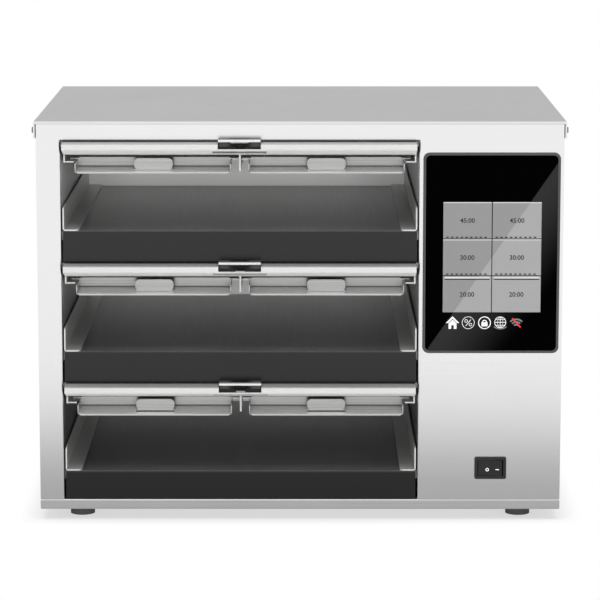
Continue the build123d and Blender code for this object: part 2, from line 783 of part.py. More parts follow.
# Pan lid: raised box with wings, and a hemmed ledge with side lips and a lanced finger tab
box_half = lid_width / 2 - lid_box_inset
ledge_front_top = ledge_crease - ledge_fall
wing_bottom = flange_height + wing_clearance
tab_y = front_y + tab_base_setback
lean = radians(tab_lean)
tab_plane = Plane(origin=(0, tab_y, ledge_front_top), x_dir=(1, 0, 0), z_dir=(0, -cos(lean), -sin(lean)))
with BuildPart() as pan_lid:
    with BuildSketch(facing_front(lid_face_y)) as lid_front:
        with Locations((0, (lid_skirt_bottom + lid_top) / 2)):
            Rectangle(2 * box_half, lid_top - lid_skirt_bottom)
        fillet(lid_front.vertices().group_by(Axis.Z)[-1], lid_corner)
    extrude(amount=lid_face_y - lid_back_y)
    with BuildSketch(facing_front(lid_face_y + lid_sheet)) as lid_hollow:
        with Locations((0, (lid_skirt_bottom + lid_top - lid_sheet) / 2)):
            Rectangle(2 * (box_half - lid_sheet), lid_top - lid_sheet - lid_skirt_bottom)
        chamfer(lid_hollow.vertices().group_by(Axis.Z)[-1], lid_corner - lid_sheet)
    extrude(amount=lid_face_y + 2 * lid_sheet - lid_back_y, mode=Mode.SUBTRACT)
    for side in (-1, 1):
        inner = side * (box_half - wing_root)
        outer = side * (lid_width / 2 + wing_reach)
        slab(min(inner, outer), max(inner, outer), lid_face_y, lid_back_y, wing_bottom,
             wing_bottom + lid_sheet)
    with BuildSketch(Plane.YZ.offset(-lid_width / 2)):
        with BuildLine():
            Polyline((lid_face_y + lid_sheet, ledge_crease), (ledge_y, ledge_front_top),
                     (ledge_y, ledge_front_top - lid_sheet),
                     (lid_face_y + lid_sheet, ledge_crease - lid_sheet), close=True)
        make_face()
    extrude(amount=lid_width)
    fillet(pan_lid.edges().filter_by(Axis.Z).group_by(Axis.Y)[0], ledge_corner)
    slab(ledge_corner / 2 - lid_width / 2, lid_width / 2 - ledge_corner / 2, ledge_y,
         ledge_y + 2 * hem_radius, ledge_front_top - 2 * hem_radius, ledge_front_top)
    chamfer(pan_lid.edges().filter_by(Axis.X).group_by(Axis.Z)[0], hem_radius / 2)
    for start in (-lid_width / 2, lid_width / 2 - lip_sheet):
        with BuildSketch(Plane.YZ.offset(start), mode=Mode.PRIVATE) as lip:
            with BuildLine():
                Polyline((lid_face_y, ledge_crease - lid_sheet), (lid_face_y, lip_top),
                         (ledge_y + lip_front_setback, lip_top),
                         (ledge_y + lip_front_setback, ledge_front_top), close=True)
            make_face()
            chamfer(lip.vertices().group_by(Axis.Y)[0].sort_by(Axis.Z)[-1], lip_corner)
        extrude(lip.sketch, amount=lip_sheet)
    slab(-tab_width / 2, tab_width / 2, tab_y - tab_slot_depth, tab_y, ledge_front_top - lid_sheet,
         ledge_crease, Mode.SUBTRACT)
    with BuildSketch(tab_plane, mode=Mode.PRIVATE) as tab:
        with Locations((0, tab_height / 2)):
            Rectangle(tab_width, tab_height)
        fillet(tab.vertices().group_by(Axis.Z)[-1], tab_corner)
    extrude(tab.sketch, amount=-lid_sheet)

for row in rows:
    save_at(pan_lid, f"lid_{row}_left", (cavity_mid - lid_offset, 0, floor_of(row)))
    save_at(pan_lid, f"lid_{row}_right", (cavity_mid + lid_offset, 0, floor_of(row)))

# Touchscreen: bezel with a collar through the panel, glass, display module
with BuildPart() as display_bezel:
    rounded_panel(front_y, display_x, display_z, bezel_width, bezel_height, bezel_corner, bezel_reach)
    chamfer(display_bezel.faces().sort_by(Axis.Y)[0].edges(), bezel_edge)
    square_panel(front_y, display_x, display_z, bezel_width - 2 * bezel_lap - seat_gap,
                 bezel_height - 2 * bezel_lap - seat_gap, -bezel_collar)
    square_panel(front_y + bezel_collar, display_x, display_z, bezel_width - 2 * bezel_lap - 2 * bezel_wall,
                 bezel_height - 2 * bezel_lap - 2 * bezel_wall, bezel_collar + bezel_reach, Mode.SUBTRACT)
    rounded_panel(front_y - bezel_reach + glass_recess + glass_thickness, display_x, display_z,
                  bezel_width - 2 * bezel_rim, bezel_height - 2 * bezel_rim, glass_corner,
                  glass_recess + glass_thickness, Mode.SUBTRACT)
save(display_bezel, "display_bezel")

glass_back_y = front_y - bezel_reach + glass_recess + glass_thickness
with BuildPart() as display_glass:
    rounded_panel(glass_back_y, display_x, display_z, bezel_width - 2 * bezel_rim - 2 * glass_clearance,
                  bezel_height - 2 * bezel_rim - 2 * glass_clearance, glass_corner, glass_thickness)
save(display_glass, "display_glass")

module_width = bezel_width - 2 * bezel_lap - 2 * bezel_wall - seat_gap
module_height = bezel_height - 2 * bezel_lap - 2 * bezel_wall - seat_gap
with BuildPart() as display_module:
    square_panel(glass_back_y, display_x, display_z, module_width, module_height, -module_depth / 2)
    square_panel(glass_back_y + module_depth / 2, display_x, display_z, module_width / 2, module_height / 2,
                 -module_depth / 2)
save(display_module, "display_module")

# Rocker switch: the rocker turns on two trunnions in the housing's upper and lower walls
switch_face_y = front_y - switch_reach
pivot_y = switch_face_y + rocker_pivot_depth
housing_height = switch_height - 2 * switch_lap - seat_gap
with BuildPart() as switch_housing:
    rounded_panel(front_y, switch_x, switch_z, switch_width, switch_height, switch_corner, switch_reach)
    square_panel(front_y, switch_x, switch_z, switch_width - 2 * switch_lap - seat_gap, housing_height,
                 -switch_body_depth)
    square_panel(switch_face_y + rocker_well_depth, switch_x, switch_z, rocker_well_width,
                 rocker_well_height, rocker_well_depth, Mode.SUBTRACT)
    for place in (-1, 1):
        blade_x = switch_x + place * switch_blade_pitch
        slab(blade_x - switch_blade / 2, blade_x + switch_blade / 2, front_y + switch_body_depth,
             front_y + switch_body_depth + switch_blade_length, switch_z - switch_blade_width / 2,
             switch_z + switch_blade_width / 2)
    rod(Plane.XY.offset(switch_z - housing_height / 2), [(switch_x, pivot_y)],
        trunnion_radius + trunnion_clearance, housing_height, Mode.SUBTRACT)
save(switch_housing, "switch_housing")

with BuildPart() as rocker_square:
    with BuildSketch(Plane.XY.offset(-rocker_height / 2)):
        with BuildLine():
            Polyline((-rocker_width / 2, -rocker_crown - rocker_dip), (0, -rocker_crown),
                     (rocker_width / 2, -rocker_crown - rocker_dip), (rocker_width / 2, rocker_crown / 2),
                     (rocker_width / 4, rocker_depth - rocker_crown),
                     (-rocker_width / 4, rocker_depth - rocker_crown),
                     (-rocker_width / 2, rocker_crown / 2), close=True)
        make_face()
    extrude(amount=rocker_height)
    chamfer(rocker_square.edges().filter_by(Axis.Z).group_by(Axis.Y)[0], rocker_edge)
    rod(Plane.XY.offset(-rocker_height / 2 - trunnion_length), [(0, 0)], trunnion_radius,
        rocker_height + 2 * trunnion_length)
with BuildPart() as switch_rocker:
    with Locations(Location((switch_x, pivot_y, switch_z), (0, 0, -rocker_tilt))):
        add(rocker_square.part)
save(switch_rocker, "switch_rocker")

# Control bay: board on the right side panel, power supply, relays on a heat sink, terminals
wall_x = half_width - sheet
board_x = wall_x - board_standoff
board_y = front_y + board_setback
board_corners = [
    (board_y + standoff_inset, board_bottom + standoff_inset),
    (board_y + board_width - standoff_inset, board_bottom + standoff_inset),
    (board_y + standoff_inset, board_bottom + board_height - standoff_inset),
    (board_y + board_width - standoff_inset, board_bottom + board_height - standoff_inset),
]
with BuildPart() as control_board:
    slab(board_x - board_thickness, board_x, board_y, board_y + board_width, board_bottom,
         board_bottom + board_height)
    with BuildSketch(Plane.YZ.offset(board_x)):
        with Locations(*board_corners):
            Rectangle(standoff_width, standoff_width)
    extrude(amount=board_standoff)
    with BuildSketch(Plane.YZ.offset(board_x - board_thickness)):
        with Locations((board_y + board_width / 2, board_bottom + board_height / 2)):
            with GridLocations(chip_pitch, chip_pitch, 3, 2):
                Rectangle(chip_size, chip_size)
    extrude(amount=-chip_height)
save(control_board, "control_board")

supply_y = front_y + supply_setback
with BuildPart() as power_supply:
    slab(bay_mid - supply_width / 2, bay_mid + supply_width / 2, supply_y, supply_y + supply_depth,
         liner_bottom, liner_bottom + supply_height)
    slab(bay_mid - supply_width / 2, bay_mid + supply_width / 2, supply_y + supply_depth - supply_recess,
         supply_y + supply_depth, liner_bottom + supply_height / 2, liner_bottom + supply_height,
         Mode.SUBTRACT)
save(power_supply, "power_supply")

sink_y = front_y + sink_setback
sink_top = liner_bottom + sink_fin + sink_base
with BuildPart() as heat_sink:
    slab(bay_mid - sink_width / 2, bay_mid + sink_width / 2, sink_y, sink_y + sink_depth,
         liner_bottom + sink_fin, sink_top)
    with BuildSketch(Plane.XY.offset(liner_bottom)):
        with Locations((bay_mid, sink_y + sink_depth / 2)):
            with GridLocations((sink_width - sink_fin_thickness) / (sink_fins - 1), 0, sink_fins, 1):
                Rectangle(sink_fin_thickness, sink_depth)
    extrude(amount=sink_fin)
save(heat_sink, "heat_sink")

with BuildPart() as relays:
    with BuildSketch(Plane.XY.offset(sink_top)):
        with Locations((bay_mid, sink_y + sink_depth / 2)):
            with GridLocations(relay_pitch, 0, 3, 1):
                Rectangle(relay_width, relay_depth)
    extrude(amount=relay_height)
    chamfer(relays.edges().group_by(Axis.Z)[-1], relay_edge)
save(relays, "relays")

terminal_y = front_y + terminal_setback
terminal_z = base_bottom + terminal_above_base
terminal_step = terminal_length / terminal_ways
with BuildPart() as terminal_block:
    slab(wall_x - terminal_height, wall_x, terminal_y, terminal_y + terminal_length, terminal_z,
         terminal_z + terminal_width)
    with BuildSketch(Plane.YZ.offset(wall_x - terminal_height)):
        with Locations((terminal_y + terminal_length / 2, terminal_z + terminal_width / 2)):
            with GridLocations(terminal_step, 0, terminal_ways, 1):
                Rectangle(terminal_slot, terminal_width)
    extrude(amount=terminal_height / 3, mode=Mode.SUBTRACT)
save(terminal_block, "terminal_block")
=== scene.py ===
import json
import math

import bmesh
import bpy
from mathutils import Matrix, Vector


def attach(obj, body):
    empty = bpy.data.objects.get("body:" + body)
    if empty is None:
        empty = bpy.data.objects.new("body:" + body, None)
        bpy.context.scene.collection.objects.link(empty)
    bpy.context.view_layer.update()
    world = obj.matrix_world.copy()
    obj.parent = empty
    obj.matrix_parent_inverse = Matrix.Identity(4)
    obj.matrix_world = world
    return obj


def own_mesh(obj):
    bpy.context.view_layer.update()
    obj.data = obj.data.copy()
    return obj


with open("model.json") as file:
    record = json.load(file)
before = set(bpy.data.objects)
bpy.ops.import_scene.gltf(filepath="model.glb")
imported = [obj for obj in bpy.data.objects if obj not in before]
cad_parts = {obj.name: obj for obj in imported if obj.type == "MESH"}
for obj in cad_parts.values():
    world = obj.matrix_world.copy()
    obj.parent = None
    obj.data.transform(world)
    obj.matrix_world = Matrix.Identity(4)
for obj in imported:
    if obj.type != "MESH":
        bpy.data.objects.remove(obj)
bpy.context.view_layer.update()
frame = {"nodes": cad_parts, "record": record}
NODES = frame["nodes"]

# Where the repeated pieces stand, and half the width and depth of the body, in metres
LATCH_X = -0.0655
LOWEST_FLOOR = 0.0554
ROW_PITCH = 0.1337
TAB_OFFSET = 0.09425
BODY_HALF_WIDTH, BODY_HALF_DEPTH = 0.287, 0.200

# Painted shade on the cavity's side walls changes over between two ends. These are a pair of heights over the
# ground, in metres
LINER_SHADE_HEIGHTS = (0.15, 0.38)

# Places along Y that bound the painted shade on the lids, latches and rack tie
LID_LEDGE = (-0.1720, -0.1700)
LID_FACE = (-0.1683, -0.1680)
LID_INSIDE = (-0.1600, -0.1580)
LATCH_LIP = (-0.2165, -0.2120)
TIE_BACK = (-0.1930, -0.1920)

# Heights over the floor of a row, and distances from the middle of a tab or latch, that bound painted shade
LID_CREASE = (0.0680, 0.0690)
RAIL_INSIDE = (0.0815, 0.0830)
TAB_SIDE = (0.019, 0.023)
LATCH_SIDE = (0.007, 0.016)

# Upward part of the face normal between a face that looks down or up and one that looks forward; painted
# light and shade by facing changes over here
FACING_DOWN, FACING_UP = (-0.95, -0.45), (0.25, 0.6)

# Noise scales for brushed steel, and the range in which nearly all of a noise lies
BRUSH_ALONG, BRUSH_ACROSS = 4.0, 2600.0
SMUDGE_SCALE = (9.0, 9.0, 9.0)
NOISE_LOW, NOISE_HIGH = 0.3, 0.7


# Material helpers

def tree_of(name):
    mat = bpy.data.materials.new(name)
    mat.use_nodes = True
    nodes, links = mat.node_tree.nodes, mat.node_tree.links
    return mat, nodes, links, nodes["Principled BSDF"]


def coords(nodes, links, scale):
    """Object coordinates, scaled for each axis."""
    where = nodes.new("ShaderNodeTexCoord")
    mapping = nodes.new("ShaderNodeMapping")
    mapping.inputs["Scale"].default_value = scale
    links.new(where.outputs["Object"], mapping.inputs["Vector"])
    return mapping.outputs["Vector"]


def noise(nodes, links, vector, detail, rough=0.5):
    tex = nodes.new("ShaderNodeTexNoise")
    tex.inputs["Scale"].default_value = 1.0
    tex.inputs["Detail"].default_value = detail
    tex.inputs["Roughness"].default_value = rough
    links.new(vector, tex.inputs["Vector"])
    return tex.outputs["Fac"]


def remap(nodes, links, value, low, high, out_low, out_high, smooth=False):
    node = nodes.new("ShaderNodeMapRange")
    if smooth:
        node.interpolation_type = "SMOOTHSTEP"
    node.inputs["From Min"].default_value = low
    node.inputs["From Max"].default_value = high
    node.inputs["To Min"].default_value = out_low
    node.inputs["To Max"].default_value = out_high
    links.new(value, node.inputs["Value"])
    return node.outputs["Result"]


def ramp(nodes, links, value, ends, before=0.0, after=1.0):
    """A smooth change from one level to another between two ends."""
    return remap(nodes, links, value, *ends, before, after, True)


def math_node(nodes, links, operation, first, second):
    node = nodes.new("ShaderNodeMath")
    node.operation = operation
    for socket, value in zip(node.inputs, (first, second)):
        if isinstance(value, (int, float)):
            socket.default_value = value
        else:
            links.new(value, socket)
    return node.outputs["Value"]


def times(nodes, links, first, second):
    return math_node(nodes, links, "MULTIPLY", first, second)


def larger(nodes, links, first, second):
    return math_node(nodes, links, "MAXIMUM", first, second)


def minus(nodes, links, first, second):
    return math_node(nodes, links, "SUBTRACT", first, second)


def absolute(nodes, links, value):
    return math_node(nodes, links, "ABSOLUTE", value, 0.0)


def vary(nodes, links, pattern, low, high):
    """The pattern of a noise, spread from low to high."""
    return remap(nodes, links, pattern, NOISE_LOW, NOISE_HIGH, low, high)


def position(nodes, links):
    """The three parts of the object coordinates, which at rest are places in the part's frame."""
    place = nodes.new("ShaderNodeTexCoord")
    parts = nodes.new("ShaderNodeSeparateXYZ")
    links.new(place.outputs["Object"], parts.inputs["Vector"])
    return parts.outputs


def away_from(nodes, links, value, middle):
    """The distance of a value from a middle."""
    return absolute(nodes, links, minus(nodes, links, value, middle))


def over_floor(nodes, links, z):
    """Height over the floor of the row that a point is in."""
    return math_node(nodes, links, "MODULO", minus(nodes, links, z, LOWEST_FLOOR), ROW_PITCH)


def shade(nodes, links, color, factor):
    """The colour multiplied by a grey factor."""
    mix = nodes.new("ShaderNodeMix")
    mix.data_type = "RGBA"
    mix.blend_type = "MULTIPLY"
    mix.inputs["Factor"].default_value = 1.0
    mix.inputs["A"].default_value = (*color, 1.0)
    links.new(factor, mix.inputs["B"])
    return mix.outputs["Result"]


def facing(nodes, links):
    """The three parts of the face normal."""
    geometry = nodes.new("ShaderNodeNewGeometry")
    parts = nodes.new("ShaderNodeSeparateXYZ")
    links.new(geometry.outputs["True Normal"], parts.inputs["Vector"])
    return parts.outputs


def shade_by_facing(nodes, links, up, front, under):
    """Painted light and shade: a factor that differs between faces that look up, to the front and down."""
    z = facing(nodes, links)["Z"]
    lower = ramp(nodes, links, z, FACING_DOWN, under, front)
    upper = ramp(nodes, links, z, FACING_UP, 1.0, up / front)
    return times(nodes, links, lower, upper)


def brush_lines(nodes, links, grain):
    """Fine lines along one axis."""
    scale = tuple(BRUSH_ALONG if axis == grain else BRUSH_ACROSS for axis in "XYZ")
    return noise(nodes, links, coords(nodes, links, scale), detail=2.0)


def smudges(nodes, links):
    """Wide, soft patches."""
    return noise(nodes, links, coords(nodes, links, SMUDGE_SCALE), detail=4.0, rough=0.55)


def finish_surface(nodes, links, bsdf, color, tint, pattern, rough, spread):
    """Colour and roughness from their patterns."""
    links.new(shade(nodes, links, color, tint), bsdf.inputs["Base Color"])
    links.new(vary(nodes, links, pattern, rough - spread, rough + spread), bsdf.inputs["Roughness"])


def relief(nodes, links, bsdf, pattern, strength, distance):
    """Fine relief from a pattern; distance in metres."""
    bump = nodes.new("ShaderNodeBump")
    bump.inputs["Strength"].default_value = strength
    bump.inputs["Distance"].default_value = distance
    links.new(pattern, bump.inputs["Height"])
    links.new(bump.outputs["Normal"], bsdf.inputs["Normal"])


def brushed(name, color, rough, grain, wear=0.05, metallic=1.0, facing_light=None):
    """Brushed steel, lines along the grain axis; the facing levels paint light and shade on up, front and
    down faces.
    """
    mat, nodes, links, bsdf = tree_of(name)
    lines = brush_lines(nodes, links, grain)
    tint = vary(nodes, links, smudges(nodes, links), 1.0 - wear, 1.0)
    if facing_light:
        tint = times(nodes, links, tint, shade_by_facing(nodes, links, *facing_light))
    finish_surface(nodes, links, bsdf, color, tint, lines, rough, spread=0.05)
    bsdf.inputs["Metallic"].default_value = metallic
    relief(nodes, links, bsdf, lines, strength=0.012, distance=0.0004)
    return mat


def plain(name, color, rough, metallic=0.0, speckle=900.0, strength=0.03, specular=0.5):
    """Moulded, coated or fibrous surface with a fine speckle."""
    mat, nodes, links, bsdf = tree_of(name)
    grit = noise(nodes, links, coords(nodes, links, (speckle,) * 3), 3.0)
    cloud = noise(nodes, links, coords(nodes, links, (14.0,) * 3), 3.0)
    finish_surface(nodes, links, bsdf, color, vary(nodes, links, cloud, 0.92, 1.0), grit, rough, spread=0.04)
    bsdf.inputs["Metallic"].default_value = metallic
    bsdf.inputs["Specular IOR Level"].default_value = specular
    relief(nodes, links, bsdf, grit, strength, distance=0.0005)
    return mat


def liner(name, color, rough, back_tone, side_shade_low, side_shade_high):
    """Matt cavity steel, with painted shade: side walls darker than the back and darker still towards the
    bottom, as in the photo.
    """
    mat, nodes, links, bsdf = tree_of(name)
    # Painted shade: the side walls are darker than the back, and darker still low down
    on_sides = absolute(nodes, links, facing(nodes, links)["X"])
    side_shade = ramp(nodes, links, position(nodes, links)["Z"], LINER_SHADE_HEIGHTS, side_shade_low, side_shade_high)
    painted_shade = times(nodes, links, on_sides, minus(nodes, links, back_tone, side_shade))
    tint = times(nodes, links, minus(nodes, links, back_tone, painted_shade),
                 vary(nodes, links, smudges(nodes, links), 0.94, 1.0))
    finish_surface(nodes, links, bsdf, color, tint, brush_lines(nodes, links, "Z"), rough, spread=0.05)
    bsdf.inputs["Metallic"].default_value = 0.05
    return mat


def lid_look(name, color, rough, facing_light, crease_shade, tab_shade):
    """Brushed lid steel, with painted shade in the crease and behind the finger tab, as in the photo."""
    mat, nodes, links, bsdf = tree_of(name)
    parts = position(nodes, links)
    ledge = ramp(nodes, links, parts["Y"], LID_LEDGE, 1.0, 0.0)
    inside = ramp(nodes, links, parts["Y"], LID_INSIDE)
    # Painted shade in the crease below the lid's face
    crease = ramp(nodes, links, over_floor(nodes, links, parts["Z"]), LID_CREASE, crease_shade, 1.0)
    crease = larger(nodes, links, crease, larger(nodes, links, ledge, inside))
    # Painted shade on the lid's face behind the finger tab
    off_tab = away_from(nodes, links, away_from(nodes, links, parts["X"], LATCH_X), TAB_OFFSET)
    shade_behind_tab = larger(nodes, links, ramp(nodes, links, off_tab, TAB_SIDE, tab_shade, 1.0),
                        larger(nodes, links, ledge, ramp(nodes, links, parts["Y"], LID_FACE)))
    tint = times(nodes, links, times(nodes, links, crease, shade_behind_tab),
                 vary(nodes, links, smudges(nodes, links), 0.94, 1.0))
    # Painted light and shade by facing
    tint = times(nodes, links, tint, shade_by_facing(nodes, links, *facing_light))
    finish_surface(nodes, links, bsdf, color, tint, brush_lines(nodes, links, "X"), rough, spread=0.05)
    bsdf.inputs["Metallic"].default_value = 0.4
    return mat


def latch_look(name, color, rough, end_shade, middle_shade):
    """Latch steel: a bright finger lip and, behind it, a plate with painted shade, darkest in the middle, as
    in the photo.
    """
    mat, nodes, links, bsdf = tree_of(name)
    parts = position(nodes, links)
    off_centre = away_from(nodes, links, parts["X"], LATCH_X)
    # Painted shade on the plate behind the lip
    plate = ramp(nodes, links, off_centre, LATCH_SIDE, middle_shade, end_shade)
    behind_lip = ramp(nodes, links, parts["Y"], LATCH_LIP)
    painted_shade = times(nodes, links, behind_lip, minus(nodes, links, 1.0, plate))
    smudge = noise(nodes, links, coords(nodes, links, (40.0,) * 3), detail=3.0)
    tint = times(nodes, links, minus(nodes, links, 1.0, painted_shade), vary(nodes, links, smudge, 0.92, 1.0))
    finish_surface(nodes, links, bsdf, color, tint, smudge, rough, spread=0.04)
    bsdf.inputs["Specular IOR Level"].default_value = 0.15
    return mat


def rack_look(name, color, rough, tie_shade):
    """Rack steel, with painted shade on the front tie inside the folded rail, as in the photo."""
    mat, nodes, links, bsdf = tree_of(name)
    parts = position(nodes, links)
    lines = brush_lines(nodes, links, "Y")
    # Painted shade on the front tie inside the folded rail
    behind_tie = ramp(nodes, links, parts["Y"], TIE_BACK)
    shade_in_rail = ramp(nodes, links, over_floor(nodes, links, parts["Z"]), RAIL_INSIDE, 1.0, tie_shade)
    tint = times(nodes, links, larger(nodes, links, behind_tie, shade_in_rail),
                 vary(nodes, links, lines, 0.92, 1.0))
    finish_surface(nodes, links, bsdf, color, tint, lines, rough, spread=0.04)
    bsdf.inputs["Metallic"].default_value = 0.2
    return mat


def coated_shelf(name, front, floor, rough, specular):
    """Dark coated plate with faint brushing; painted light makes its top paler than its front edge, as in the
    photo.
    """
    mat, nodes, links, bsdf = tree_of(name)
    lines = noise(nodes, links, coords(nodes, links, (1500.0, 9.0, 1500.0)), detail=2.0)
    cloud = noise(nodes, links, coords(nodes, links, (11.0,) * 3), detail=4.0)
    both = times(nodes, links, vary(nodes, links, lines, 0.95, 1.0), vary(nodes, links, cloud, 0.94, 1.0))
    # Painted light: faces that look up get a paler colour than the front edge
    lit_top_mix = nodes.new("ShaderNodeMix")
    lit_top_mix.data_type = "RGBA"
    links.new(remap(nodes, links, facing(nodes, links)["Z"], 0.6, 0.9, 0.0, 1.0), lit_top_mix.inputs["Factor"])
    links.new(shade(nodes, links, front, both), lit_top_mix.inputs["A"])
    links.new(shade(nodes, links, floor, both), lit_top_mix.inputs["B"])
    links.new(lit_top_mix.outputs["Result"], bsdf.inputs["Base Color"])
    links.new(vary(nodes, links, lines, rough - 0.02, rough + 0.02), bsdf.inputs["Roughness"])
    bsdf.inputs["Specular IOR Level"].default_value = specular
    return mat


# Ends of the diagonal edge of a painted reflection on the glass, in metres in the X-Z plane, and its softness
SHEEN_TOP = (0.28088, 0.39895)
SHEEN_LOW = (0.14026, 0.19381)
SHEEN_EDGE = (-0.0004, 0.0006)


def painted_sheen_mask(nodes, links, fade):
    """Mask of a painted reflection: 1 at the diagonal of the glass, falling off to its lower right, 0 above
    the diagonal.
    """
    run, rise = SHEEN_TOP[0] - SHEEN_LOW[0], SHEEN_TOP[1] - SHEEN_LOW[1]
    length = math.hypot(run, rise)
    parts = position(nodes, links)
    across_x = times(nodes, links, parts["X"], rise / length)
    across_z = times(nodes, links, parts["Z"], -run / length)
    start = (SHEEN_LOW[0] * rise - SHEEN_LOW[1] * run) / length
    across = minus(nodes, links, math_node(nodes, links, "ADD", across_x, across_z), start)
    edge = ramp(nodes, links, across, SHEEN_EDGE)
    return times(nodes, links, edge, ramp(nodes, links, across, (0.0, fade), 1.0, 0.0))


def screen(name, dark, light, rough, fade, specular):
    """Cover glass over a display: almost black, with a faint diagonal reflection painted into its colour."""
    mat, nodes, links, bsdf = tree_of(name)
    # A smear pattern that varies the roughness and breaks up the painted reflection
    smear_and_sheen = noise(nodes, links, coords(nodes, links, (26.0, 26.0, 9.0)), detail=4.0)
    mask = times(nodes, links, painted_sheen_mask(nodes, links, fade),
                 remap(nodes, links, smear_and_sheen, 0.2, 0.8, 0.85, 1.0))
    mix = nodes.new("ShaderNodeMix")
    mix.data_type = "RGBA"
    mix.inputs["A"].default_value = (*dark, 1.0)
    mix.inputs["B"].default_value = (*light, 1.0)
    links.new(mask, mix.inputs["Factor"])
    links.new(mix.outputs["Result"], bsdf.inputs["Base Color"])
    links.new(vary(nodes, links, smear_and_sheen, rough, rough + 0.03), bsdf.inputs["Roughness"])
    bsdf.inputs["Specular IOR Level"].default_value = specular
    return mat


LOOKS = {
    "cover_steel": brushed("cover_steel", (0.84, 0.84, 0.84), 0.26, "X"),
    "front_steel": brushed("front_steel", (0.88, 0.88, 0.88), 0.22, "X", wear=0.02),
    "base_steel": brushed("base_steel", (0.84, 0.84, 0.84), 0.30, "X"),
    "panel_steel": brushed("panel_steel", (0.74, 0.74, 0.74), 0.34, "Y"),
    # Liner: painted shade on the cavity's side walls
    "liner_steel": liner("liner_steel", (0.92, 0.92, 0.91), 0.44, back_tone=0.66, side_shade_low=0.10,
                         side_shade_high=0.62),
    # Shelf: painted light, its top paler than its shaded front edge
    "shelf_dark": coated_shelf("shelf_dark", front=(0.007, 0.007, 0.0072), floor=(0.105, 0.105, 0.106),
                               rough=0.24, specular=0.42),
    "tray_steel": brushed("tray_steel", (0.55, 0.55, 0.55), 0.38, "Y"),
    "guide_steel": brushed("guide_steel", (0.56, 0.56, 0.55), 0.36, "Y", metallic=0.4),
    # Rack: painted shade on the front tie
    "rack_steel": rack_look("rack_steel", (0.60, 0.60, 0.595), 0.36, tie_shade=0.02),
    # Rail: painted light and shade by facing on its top, front and underside
    "rail_steel": brushed("rail_steel", (0.93, 0.93, 0.92), 0.42, "X", wear=0.02, metallic=0.0,
                          facing_light=(0.34, 0.52, 0.82)),
    # Latch: painted shade on the plate behind its lip
    "latch_steel": latch_look("latch_steel", (0.55, 0.55, 0.545), 0.40, end_shade=0.13, middle_shade=0.018),
    "spring_steel": brushed("spring_steel", (0.50, 0.50, 0.50), 0.30, "Y"),
    # Lids: painted shade in the crease and behind the tabs, and painted light and shade by facing
    "lid_steel": lid_look("lid_steel", (0.86, 0.86, 0.85), 0.30, facing_light=(1.0, 0.52, 0.52),
                          crease_shade=0.30, tab_shade=0.10),
    "foot_rubber": plain("foot_rubber", (0.055, 0.055, 0.055), 0.75),
    "screw_dark": plain("screw_dark", (0.08, 0.08, 0.08), 0.40, 0.8),
    "screw_steel": brushed("screw_steel", (0.60, 0.60, 0.60), 0.35, "X"),
    "bezel_grey": plain("bezel_grey", (0.045, 0.045, 0.047), 0.45),
    "module_black": plain("module_black", (0.02, 0.02, 0.022), 0.55),
    "switch_black": plain("switch_black", (0.018, 0.018, 0.018), 0.42, specular=0.25),
    "rocker_black": plain("rocker_black", (0.016, 0.016, 0.016), 0.36, specular=0.25),
    "gland_black": plain("gland_black", (0.02, 0.02, 0.02), 0.5),
    "insulation_wool": plain("insulation_wool", (0.70, 0.68, 0.60), 0.9, strength=0.3, speckle=500.0),
    "heater_foil": brushed("heater_foil", (0.72, 0.72, 0.72), 0.25, "X"),
    "sensor_steel": brushed("sensor_steel", (0.60, 0.60, 0.60), 0.28, "X"),
    "board_green": plain("board_green", (0.02, 0.12, 0.05), 0.4),
    "supply_metal": brushed("supply_metal", (0.66, 0.66, 0.67), 0.36, "Y"),
    "sink_metal": brushed("sink_metal", (0.58, 0.58, 0.60), 0.36, "Y"),
    "relay_black": plain("relay_black", (0.025, 0.025, 0.028), 0.5),
    "terminal_cream": plain("terminal_cream", (0.62, 0.58, 0.48), 0.5),
    # Glass: a painted diagonal reflection
    "screen_glass": screen("screen_glass", dark=(0.0006, 0.0006, 0.0007), light=(0.022, 0.022, 0.023),
                           rough=0.10, fade=0.075, specular=0.0),
}
for entry in frame["record"]["subparts"]:
    node = NODES[entry["node"]]
    node.data.materials.clear()
    node.data.materials.append(LOOKS[entry["material_slot"]])

# Each leaf spring gets a mesh of its own
for row in (1, 2, 3):
    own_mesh(NODES[f"latch_spring_{row}"])


# Flat marks: thin plates in the X-Z plane that face the front

def ring(x, z, outer, inner, start=0.0, end=360.0, stretch=1.0, steps=28):
    """Quads of a ring or arc. Angles in degrees from +X towards +Z."""
    loops = []
    for radius in (outer, inner):
        loops.append([(x + stretch * radius * math.cos(math.radians(start + (end - start) * i / steps)),
                       z + radius * math.sin(math.radians(start + (end - start) * i / steps)))
                      for i in range(steps + 1)])
    return [[loops[0][i], loops[0][i + 1], loops[1][i + 1], loops[1][i]] for i in range(steps)]


def bar(x0, x1, z0, z1):
    return [[(x0, z0), (x1, z0), (x1, z1), (x0, z1)]]


def stroke(x0, z0, x1, z1, width):
    """A straight line with a width."""
    length = math.hypot(x1 - x0, z1 - z0)
    dx, dz = -(z1 - z0) / length * width / 2, (x1 - x0) / length * width / 2
    return [[(x0 - dx, z0 - dz), (x1 - dx, z1 - dz), (x1 + dx, z1 + dz), (x0 + dx, z0 + dz)]]


def rounded_bar(x0, x1, z0, z1):
    """A bar with half-round ends."""
    steps = 8
    radius = (z1 - z0) / 2
    points = []
    for center, first in ((x1 - radius, -90), (x0 + radius, 90)):
        points += [(center + radius * math.cos(math.radians(first + 180 * i / steps)),
                    z0 + radius + radius * math.sin(math.radians(first + 180 * i / steps)))
                   for i in range(steps + 1)]
    return [points]


MARK_THICKNESS, MARK_RISE = 0.00003, 0.00004


